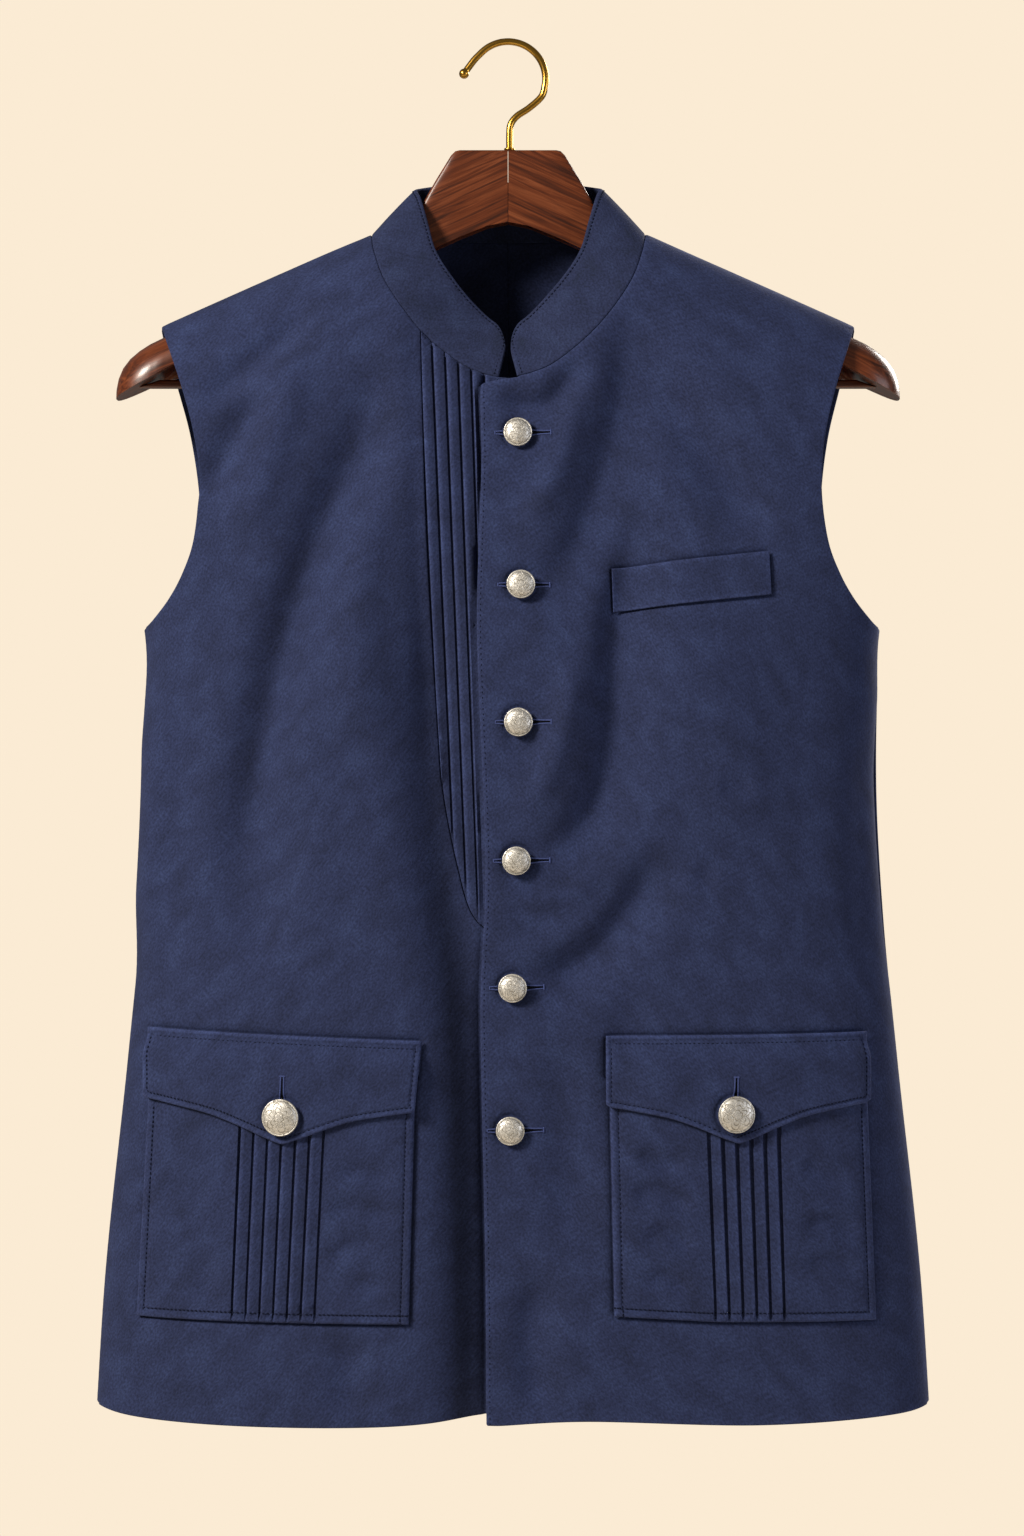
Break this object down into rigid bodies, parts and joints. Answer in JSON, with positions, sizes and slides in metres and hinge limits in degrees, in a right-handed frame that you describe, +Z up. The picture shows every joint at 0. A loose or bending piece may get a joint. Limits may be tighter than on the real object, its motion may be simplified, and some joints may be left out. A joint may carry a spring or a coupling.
{
  "type": "nehru jacket on a hanger",
  "caption": "Sleeveless band-collar jacket in navy cloth, buttoned, with a pin-tucked front strip and pleated flap pockets, on a dark wooden hanger with a brass hook.",
  "frame": {"origin": "highest point inside the hook, where it hangs on a rail or peg", "axes": "+Z up along the hanging garment, +X towards the right as seen from the front, the buttoned front faces -Y"},
  "size_m": [0.4824, 0.1222, 0.7956],
  "materials": {
    "cloth": "brushed cotton, matt",
    "wood": "dark walnut, satin lacquer",
    "brass": "polished",
    "silver": "antique silver, engraved dome"
  },
  "bodies": {
    "root": {"front_left": "cloth", "tuck_panel": "cloth", "front_right": "cloth", "back_left": "cloth", "back_right": "cloth", "collar": "cloth", "chest_welt": "cloth", "pocket_left": "cloth", "pocket_right": "cloth", "flap_left": "cloth", "flap_right": "cloth", "front_button_1": "silver", "front_button_2": "silver", "front_button_3": "silver", "front_button_4": "silver", "front_button_5": "silver", "front_button_6": "silver", "pocket_button_left": "silver", "pocket_button_right": "silver", "hanger_arm_left": "wood", "hanger_arm_right": "wood", "trouser_bar": "wood", "hook": "brass", "hook_ferrule": "brass"}
  },
  "joints": []
}
